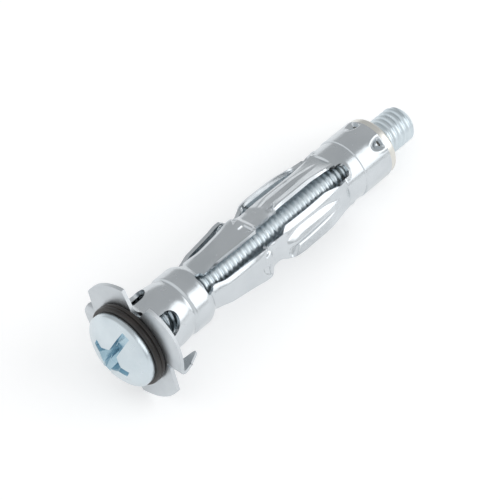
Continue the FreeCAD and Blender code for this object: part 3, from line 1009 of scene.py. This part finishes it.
    def relief(self, angle: float, along: float) -> float:
        """The small raised and sunk forms of the rear tube, outwards.

        Args:
            angle: The angle about the axis.
            along: The place along the axis.

        Returns:
            The height in millimetres, negative where the sheet is pressed in.
        """
        height = 0.0
        if along > self.stake_start - 0.6:
            for stake in self.stakes:
                across = abs(math.radians(turned_by(angle, stake))) * self.tube_radius.at(along)
                ahead = (self.stake_end - along) / (self.stake_end - self.stake_start)
                reach = math.hypot(across / self.stake_half_width, max(ahead, 0.0))
                behind = smooth_step(1.0 + min(ahead, 0.0) / 0.12)
                height -= self.stake_depth * smooth_step((1.0 - reach) / 0.75) * behind
                around = smooth_step(1.0 - abs(reach - 1.12) / 0.2) * smooth_step(1.0 - abs(ahead) / 1.4)
                height += self.stake_rim * around
        elif self.tube_start < along < self.slot_end + 1.0:
            for gap in self.openings_kept[:4]:
                near = smooth_step(1.0 + gap.depth(angle, along) / 0.6)
                height += self.slot_end_lift * near * smooth_step((along - self.tube_start) / 0.6)
        return height

    def on_collar(self, angle: float, along: float) -> Vector:
        """Where a place of the blank lies on the flare, a wing or a claw.

        Args:
            angle: The angle about the axis.
            along: The place along the blank.

        Returns:
            The place on the outside of the collar.
        """
        collar = self.collar
        if along > self.flat_start:
            turned = (self.flare_end - along) / collar.flare_radius
            radius = collar.flare_edge - collar.flare_radius * math.cos(turned)
            back = self.flare_end - collar.flare_radius * math.sin(turned)
            return self.around(radius, angle, back)
        radius = collar.flare_edge + self.flat_start - along
        for turn, (_, claw) in zip((0.0, HALF_TURN), self.claws_kept):
            out = -math.radians(turned_by(angle, collar.wide_low + turn)) * radius
            if 0.0 < out < collar.claw_length and claw.depth(radius, angle) > -collar.claw_edge:
                sideways, back = collar.fold(out / collar.claw_squeeze)
                edge = math.radians(collar.wide_low + turn)
                return Vector(
                    (
                        radius * math.cos(edge) + sideways * math.sin(edge),
                        back,
                        radius * math.sin(edge) - sideways * math.cos(edge),
                    )
                )
        return self.around(radius, angle, collar.bow(radius, angle))

    @staticmethod
    def around(radius: float, angle: float, along: float) -> Vector:
        """A point at a radius, an angle and a place along the axis."""
        turned = math.radians(angle)
        return Vector((radius * math.cos(turned), along, radius * math.sin(turned)))

    def build(self) -> bpy.types.Object:
        """Stamps, forms and thickens the sheet.

        Returns:
            The sleeve.
        """
        form = self.blank()
        self.stamp(form)
        for vert in form.verts:
            vert.co = self.formed(vert.co)
        bmesh.ops.remove_doubles(form, verts=form.verts, dist=1e-4)
        bmesh.ops.recalc_face_normals(form, faces=form.faces)
        sample = max(form.faces, key=lambda face: face.calc_center_median().y)
        centre = sample.calc_center_median()
        if sample.normal.dot(Vector((centre.x, 0.0, centre.z))) < 0.0:
            bmesh.ops.reverse_faces(form, faces=form.faces)
        piece = to_object(form, "expansion_sleeve_sheet", SLEEVE_ZINC.material(), 40.0)
        wall = piece.modifiers.new("sheet", "SOLIDIFY")
        wall.thickness = self.sheet * MM
        wall.offset = -1.0
        rims = piece.modifiers.new("cut_edges", "BEVEL")
        rims.width = self.rim_bevel * MM
        rims.segments = 2
        rims.limit_method = "ANGLE"
        rims.angle_limit = math.radians(self.rim_angle)
        settle(piece, Body.ANCHOR, "expansion_sleeve")
        return piece


# ---------------------------------------------------------------- screw, nut and washer


@dataclass(frozen=True)
class DriveCut:
    """A tapered four-sided cut in the head: half its length and width at the front and at its foot."""

    half_length: float
    foot_half_length: float
    half_width: float
    foot_half_width: float
    depth: float

    def form(self, front: float, angle: float) -> BMesh:
        """Makes the cut as a solid.

        Args:
            front: Where the top of the dome lies.
            angle: Its direction about the axis.

        Returns:
            The solid, which reaches a little in front of the dome.
        """
        form = bmesh.new()
        bmesh.ops.create_cube(form, size=2.0)
        before = 1.0
        longer = (self.half_length - self.foot_half_length) / self.depth * before
        wider = (self.half_width - self.foot_half_width) / self.depth * before
        for vert in form.verts:
            if vert.co.y < 0.0:
                length, width, place = self.half_length + longer, self.half_width + wider, front - before
            else:
                length, width, place = self.foot_half_length, self.foot_half_width, front + self.depth
            vert.co = Vector((vert.co.x * length, place, vert.co.z * width))
        bmesh.ops.rotate(form, cent=Vector(), matrix=Matrix.Rotation(math.radians(-angle), 3, AXIS), verts=form.verts)
        return form


@dataclass
class MachineScrew:
    """The bluish screw: a low domed head with a slot and a cross recess, and a rolled thread."""

    seat: float
    tip: float
    head_radius: float
    dome: float = 2.1
    band: float = 1.1
    edge: float = 0.18
    crest_radius: float = 2.97
    root_radius: float = 2.72
    thread_form: tuple[tuple[float, float], ...] = (
        (0.0, 0.0), (0.08, 0.06), (0.26, 0.84), (0.34, 1.0), (0.66, 1.0), (0.74, 0.84), (0.92, 0.06), (1.0, 0.0),
    )
    pitch: float = 1.0
    thread_start_angle: float = 20.0
    steps_per_turn: int = 48
    tip_chamfer: float = 0.6
    drive_angle: float = 70.0
    slot_width: float = 1.45
    slot_depth: float = 1.7
    cross: DriveCut = DriveCut(3.6, 1.95, 0.65, 0.56, 3.0)
    throat: DriveCut = DriveCut(1.9, 1.15, 1.9, 1.15, 3.0)

    @property
    def head_front(self) -> float:
        """Where the top of the dome lies."""
        return self.seat - self.band - self.dome

    @property
    def dome_radius(self) -> float:
        """The radius of the sphere that the dome is part of."""
        return (self.head_radius ** 2 + self.dome ** 2) / (2.0 * self.dome)

    def in_recess(self, place: Vector) -> bool:
        """Whether a place lies below the dome, in the slot or the cross.

        Args:
            place: The place on the screw.

        Returns:
            True if it does, by more than the softening of the edges.
        """
        from_edge, from_seat, below_dome = 0.1, 0.15, 0.09
        reach = math.hypot(place.x, place.z)
        if reach > self.head_radius - from_edge or place.y > self.seat - from_seat:
            return False
        surface = self.head_front + self.dome_radius - math.sqrt(self.dome_radius ** 2 - reach ** 2)
        return place.y > surface + below_dome

    def drive(self) -> list[tuple[DriveCut, float]]:
        """Every cut of the drive with its direction: the slot, both arms of the cross and the throat."""
        half = self.head_radius + 1.0
        slot = DriveCut(half, half, self.slot_width / 2.0, self.slot_width / 2.0 * 0.94, self.slot_depth)
        return [
            (slot, self.drive_angle),
            (self.cross, self.drive_angle),
            (self.cross, self.drive_angle + QUARTER_TURN),
            (self.throat, self.drive_angle + QUARTER_TURN / 2.0),
        ]

    def head_outline(self) -> list[tuple[float, float]]:
        """The half outline of the head, from its middle round to the shank."""
        radius = self.dome_radius
        centre = self.head_front + radius
        reach = math.asin(self.head_radius / radius)
        count = 18
        dome = [
            (radius * math.sin(reach * step / count), centre - radius * math.cos(reach * step / count))
            for step in range(count + 1)
        ]
        return [
            *dome[:-1],
            (self.head_radius - 0.05, self.seat - self.band + 0.03),
            (self.head_radius, self.seat - self.band + 0.12),
            (self.head_radius, self.seat - self.edge),
            (self.head_radius - self.edge * 0.3, self.seat - self.edge * 0.3),
            (self.head_radius - self.edge, self.seat),
            (0.0, self.seat),
        ]

    def head(self) -> BMesh:
        """Spins the head and cuts its slot and cross recess.

        Returns:
            The head, with its sharp edges softened.
        """
        material = bpy.data.materials.new("cutting_blank")
        blank = to_object(spun(self.head_outline(), 128, False), "head_blank", material, 30.0)
        cutters = [
            to_object(cut.form(self.head_front, angle), "drive_cutter", material) for cut, angle in self.drive()
        ]
        for cutter in cutters:
            cut = blank.modifiers.new("drive", "BOOLEAN")
            cut.operation = "DIFFERENCE"
            cut.object = cutter
            cut.solver = "EXACT"
        dressed = blank.evaluated_get(bpy.context.evaluated_depsgraph_get())
        form = bmesh.new()
        form.from_mesh(dressed.to_mesh())
        dressed.to_mesh_clear()
        for used in [blank, *cutters]:
            bpy.data.objects.remove(used)
        bpy.data.materials.remove(material)
        bmesh.ops.scale(form, vec=Vector((1.0, 1.0, 1.0)) / MM, verts=form.verts)
        bmesh.ops.remove_doubles(form, verts=form.verts, dist=0.004)
        limit = math.radians(38.0)
        sharp = [edge for edge in form.edges if len(edge.link_faces) == 2 and edge.calc_face_angle() > limit]
        bmesh.ops.bevel(
            form, geom=sharp, offset=0.07, offset_type="OFFSET", segments=2, profile=0.5, affect="EDGES",
            material=-1, clamp_overlap=True,
        )
        return form

    def thread(self) -> BMesh:
        """Sweeps one pitch of the rolled thread along its helix, from the head to the tip.

        Returns:
            The thread, closed at both ends.
        """
        form = bmesh.new()
        start = self.seat - self.pitch
        depth = self.crest_radius - self.root_radius
        points = [
            form.verts.new((self.root_radius + depth * rise, start + self.pitch * share, 0.0))
            for share, rise in self.thread_form
        ]
        edges = [form.edges.new(pair) for pair in zip(points, points[1:])]
        turns = math.ceil((self.tip - self.seat) / self.pitch) + 2
        steps = turns * self.steps_per_turn
        bmesh.ops.spin(
            form, geom=points + edges, cent=Vector(), axis=-AXIS, dvec=AXIS * (self.pitch / self.steps_per_turn),
            angle=math.tau * turns, steps=steps, use_merge=False,
        )
        bmesh.ops.remove_doubles(form, verts=form.verts, dist=1e-4)
        self.cut_to_length(form)
        bmesh.ops.recalc_face_normals(form, faces=form.faces)
        return form

    def cut_to_length(self, form: BMesh) -> None:
        """Cuts the thread at the head and the tip, and tapers and closes its end.

        Args:
            form: The swept thread.
        """
        front = self.seat - 0.1
        for place, away in ((front, -AXIS), (self.tip, AXIS)):
            bmesh.ops.bisect_plane(
                form, geom=form.verts[:] + form.edges[:] + form.faces[:], plane_co=AXIS * place, plane_no=away,
                clear_outer=True,
            )
        for vert in form.verts:
            reach = math.hypot(vert.co.x, vert.co.z)
            limit = self.crest_radius - self.tip_chamfer + (self.tip - vert.co.y)
            if reach > limit:
                vert.co.x *= limit / reach
                vert.co.z *= limit / reach
        near = 1e-3
        for place in (front, self.tip):
            rim = [
                edge for edge in form.edges
                if edge.is_boundary and all(abs(vert.co.y - place) < near for vert in edge.verts)
            ]
            bmesh.ops.contextual_create(form, geom=rim)

    def build(self) -> bpy.types.Object:
        """Builds the screw in place of its node."""
        form = self.head()
        shank = self.thread()
        joined = bpy.data.meshes.new("shank")
        shank.to_mesh(joined)
        shank.free()
        form.from_mesh(joined)
        bpy.data.meshes.remove(joined)
        # Faces in the slot and the cross take the second material, which carries painted shade and a painted bounce
        # tint.
        for face in form.faces:
            face.material_index = int(self.in_recess(face.calc_center_median()))
        piece = to_object(form, "machine_screw_body", SCREW_ZINC.material(), 34.0)
        piece.data.materials.append(RECESS_PAINTED_SHADE_ZINC.material())
        settle(piece, Body.SCREW, "machine_screw")
        return piece


@dataclass
class EndNut:
    """The pale nut in the rear tube: a plain body with a chamfered ring behind the tube."""

    start: float
    ring_end: float
    ring_radius: float
    ring_length: float = 1.35
    body_radius: float = 4.28
    bore_radius: float = 3.03
    chamfer: float = 0.35

    def build(self) -> bpy.types.Object:
        """Builds the nut in place of its node."""
        ring_start = self.ring_end - self.ring_length
        outline = [
            (self.bore_radius, self.start),
            (self.body_radius - self.chamfer, self.start),
            (self.body_radius - self.chamfer, ring_start),
            (self.ring_radius, ring_start),
            (self.ring_radius, self.ring_end - self.chamfer),
            (self.ring_radius - self.chamfer, self.ring_end),
            (self.bore_radius + self.chamfer, self.ring_end),
            (self.bore_radius, self.ring_end - self.chamfer),
        ]
        form = spun(rounded(outline, 0.1, 3), 96, True)
        piece = to_object(form, "end_nut_turned", NUT_ZINC.material(), 30.0)
        settle(piece, Body.ANCHOR, "end_nut")
        return piece


@dataclass
class RetainingWasher:
    """The dark washer between head and collar, with a groove round its edge."""

    front: float
    rear: float
    radius: float
    bore: float = 3.2
    groove: float = 0.3
    groove_half_width: float = 0.16
    edge_depth: float = 0.1
    edge_length: float = 0.3

    def build(self) -> bpy.types.Object:
        """Builds the washer in place of its node."""
        middle = (self.front + self.rear) / 2.0
        outline = [
            (self.bore, self.front),
            (self.radius - self.edge_depth, self.front),
            (self.radius, self.front + self.edge_length),
            (self.radius, middle - self.groove_half_width),
            (self.radius - self.groove, middle),
            (self.radius, middle + self.groove_half_width),
            (self.radius, self.rear - self.edge_length),
            (self.radius - self.edge_depth, self.rear),
            (self.bore, self.rear),
        ]
        form = spun(rounded(outline, 0.22, 4), 128, True)
        piece = to_object(form, "retaining_washer_ring", DarkRubber().material(), 50.0)
        settle(piece, Body.WASHER, "retaining_washer")
        return piece


# ---------------------------------------------------------------- the studio


@dataclass(frozen=True)
class RestingPlane:
    """The plane on which the anchor lies: two wing corners and the end of the rear tube."""

    corners: tuple[Vector, Vector]
    tail: Vector
    tail_radius: float

    def normal(self) -> Vector:
        """The upward normal of the plane."""
        up = Vector((0.0, 0.0, 1.0))
        for _ in range(8):
            down = Vector((up.x, 0.0, up.z)).normalized() * self.tail_radius
            touch = self.tail - down
            up = (self.corners[0] - self.corners[1]).cross(touch - self.corners[1]).normalized()
            if up.z < 0.0:
                up.negate()
        return up


@dataclass
class Studio:
    """The pale floor, the soft light and the camera."""

    plane: RestingPlane
    azimuth: float = 42.1
    elevation: float = 47.7
    distance: float = 350.0
    target: Vector = field(default_factory=lambda: Vector((0.0, 21.85, 0.0)))
    pixels_per_mm: float = 6.96
    picture: int = 500
    target_pixel: tuple[float, float] = (240.91, 252.69)
    sensor: float = 36.0
    floor_size: float = 4000.0
    floor_tone: float = 0.80
    floor_glow: float = 0.37
    floor_gap: float = 0.02
    room_light: float = 0.56
    room_from: float = 0.15
    front_light: float = 0.96
    front_until: float = -0.5
    lamp_distance: float = 420.0

    def floor(self) -> None:
        """Lays the floor under the anchor: white to the camera, and it keeps the shadow."""
        form = bmesh.new()
        bmesh.ops.create_grid(form, x_segments=1, y_segments=1, size=self.floor_size / 2.0)
        up = self.plane.normal()
        bmesh.ops.rotate(
            form, cent=Vector(), matrix=Vector((0.0, 0.0, 1.0)).rotation_difference(up).to_matrix(), verts=form.verts
        )
        bmesh.ops.translate(form, vec=self.plane.corners[0] - up * self.floor_gap, verts=form.verts)
        piece = to_object(form, "studio_floor", self.floor_material())

    def floor_material(self) -> bpy.types.Material:
        """A pale matt floor that shows white to the camera, in reflections and through glass."""
        sheet = NodeSheet("studio_floor_white")
        sheet.shader.inputs["Base Color"].default_value = (self.floor_tone, self.floor_tone, self.floor_tone, 1.0)
        sheet.shader.inputs["Roughness"].default_value = 0.9
        sheet.shader.inputs["Specular IOR Level"].default_value = 0.1
        rays = sheet.tree.nodes.new("ShaderNodeLightPath")
        seen = rays.outputs["Is Camera Ray"]
        for kind in ("Is Glossy Ray", "Is Transmission Ray"):
            either = sheet.tree.nodes.new("ShaderNodeMath")
            either.operation = "MAXIMUM"
            sheet.join(seen, either.inputs[0])
            sheet.join(rays.outputs[kind], either.inputs[1])
            seen = either.outputs[0]
        glow = sheet.tree.nodes.new("ShaderNodeMath")
        glow.operation = "MULTIPLY"
        glow.inputs[1].default_value = self.floor_glow
        sheet.join(seen, glow.inputs[0])
        sheet.shader.inputs["Emission Color"].default_value = (1.0, 1.0, 1.0, 1.0)
        sheet.join(glow.outputs[0], sheet.shader.inputs["Emission Strength"])
        return sheet.material

    def world(self) -> None:
        """A studio room: one even tone, lighter towards the front where the viewer stands."""
        world = bpy.data.worlds.new("studio_room")
        bpy.context.scene.world = world
        world.use_nodes = True
        tree = world.node_tree
        tree.nodes.clear()
        output = tree.nodes.new("ShaderNodeOutputWorld")
        background = tree.nodes.new("ShaderNodeBackground")
        places = tree.nodes.new("ShaderNodeTexCoord")
        split = tree.nodes.new("ShaderNodeSeparateXYZ")
        tone = tree.nodes.new("ShaderNodeMapRange")
        tone.interpolation_type = "SMOOTHSTEP"
        tone.inputs["From Min"].default_value = self.front_until
        tone.inputs["From Max"].default_value = self.room_from
        tone.inputs["To Min"].default_value = self.front_light
        tone.inputs["To Max"].default_value = self.room_light
        tree.links.new(places.outputs["Generated"], split.inputs["Vector"])
        tree.links.new(split.outputs["Y"], tone.inputs["Value"])
        tree.links.new(tone.outputs["Result"], background.inputs["Strength"])
        tree.links.new(background.outputs["Background"], output.inputs["Surface"])
        background.inputs["Color"].default_value = (0.985, 1.0, 1.01, 1.0)

    def lamp(self, name: str, azimuth: float, elevation: float, size: float, power: float) -> None:
        """Hangs one soft lamp that points at the anchor.

        Args:
            name: The lamp's name.
            azimuth: Its direction round the anchor, as the camera's.
            elevation: Its height above the horizon, in degrees.
            size: The side of its square face.
            power: Its power in watts.
        """
        data = bpy.data.lights.new(name, "AREA")
        data.shape = "SQUARE"
        data.size = size * MM
        data.energy = power
        lamp = bpy.data.objects.new(name, data)
        bpy.context.scene.collection.objects.link(lamp)
        away = self.direction(azimuth, elevation)
        lamp.location = (self.target + away * self.lamp_distance) * MM
        lamp.rotation_mode = "QUATERNION"
        lamp.rotation_quaternion = away.to_track_quat("Z", "Y")

    @staticmethod
    def direction(azimuth: float, elevation: float) -> Vector:
        """The direction from the anchor to a place round it."""
        turn, rise = math.radians(azimuth), math.radians(elevation)
        return Vector((math.sin(turn) * math.cos(rise), -math.cos(turn) * math.cos(rise), math.sin(rise)))

    def lamps(self) -> None:
        """Hangs the one soft lamp, behind the anchor on its right."""
        self.lamp("lamp_soft", azimuth=126.0, elevation=30.0, size=370.0, power=0.58)

    def camera(self) -> None:
        """Sets the camera at the photograph's viewing angle."""
        away = self.direction(self.azimuth, self.elevation)
        turn = (-away).to_track_quat("-Z", "Y")
        right, up = turn @ Vector((1.0, 0.0, 0.0)), turn @ Vector((0.0, 1.0, 0.0))
        half = self.picture / 2.0
        centre = self.target + right * ((half - self.target_pixel[0]) / self.pixels_per_mm)
        centre += up * ((self.target_pixel[1] - half) / self.pixels_per_mm)
        data = bpy.data.cameras.new("camera")
        data.sensor_width = self.sensor
        data.lens = self.sensor * self.distance / (self.picture / self.pixels_per_mm)
        data.clip_start, data.clip_end = 0.01, 10.0
        camera = bpy.data.objects.new("camera", data)
        bpy.context.scene.collection.objects.link(camera)
        camera.rotation_mode = "QUATERNION"
        camera.rotation_quaternion = turn
        camera.location = (centre + away * self.distance) * MM
        bpy.context.scene.camera = camera

    def build(self) -> None:
        """Builds the whole studio."""
        self.floor()
        self.world()
        self.lamps()
        self.camera()
        bpy.context.scene.view_settings.view_transform = "Standard"


def box_in_mm(node: str) -> tuple[Vector, Vector]:
    """The lowest and highest corner of a node, in millimetres."""
    low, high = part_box(node)
    return low / MM, high / MM


def main() -> None:
    """Builds every piece around the frame, then the studio."""
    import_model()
    sleeve_low, sleeve_high = box_in_mm("expansion_sleeve")
    nut_low, nut_high = box_in_mm("end_nut")
    _, screw_high = box_in_mm("machine_screw")
    washer_low, washer_high = box_in_mm("retaining_washer")
    sheet = -sleeve_low.y
    collar = Collar(rim_radius=9.4, flare_radius=1.8, flare_edge=6.7)
    pieces = [
        ExpansionSleeve(collar, sheet, sleeve_high.y).build(),
        EndNut(nut_low.y, nut_high.y, nut_high.x).build(),
        MachineScrew(washer_low.y, screw_high.y, screw_high.x).build(),
        RetainingWasher(washer_low.y, washer_high.y, washer_high.x).build(),
    ]
    for piece in pieces:
        log.info("%s: %d faces", piece.name, len(piece.data.polygons))
    plane = RestingPlane(
        (
            ExpansionSleeve.around(collar.rim_radius, collar.narrow_low - HALF_TURN, -sheet),
            ExpansionSleeve.around(collar.rim_radius, collar.wide_high - HALF_TURN, -sheet),
        ),
        Vector((0.0, sleeve_high.y, 0.0)),
        REAR_TUBE_RADIUS,
    )
    Studio(plane).build()


if __name__ == "__main__":
    logging.basicConfig(level=logging.INFO, format="%(name)s: %(message)s")
    main()
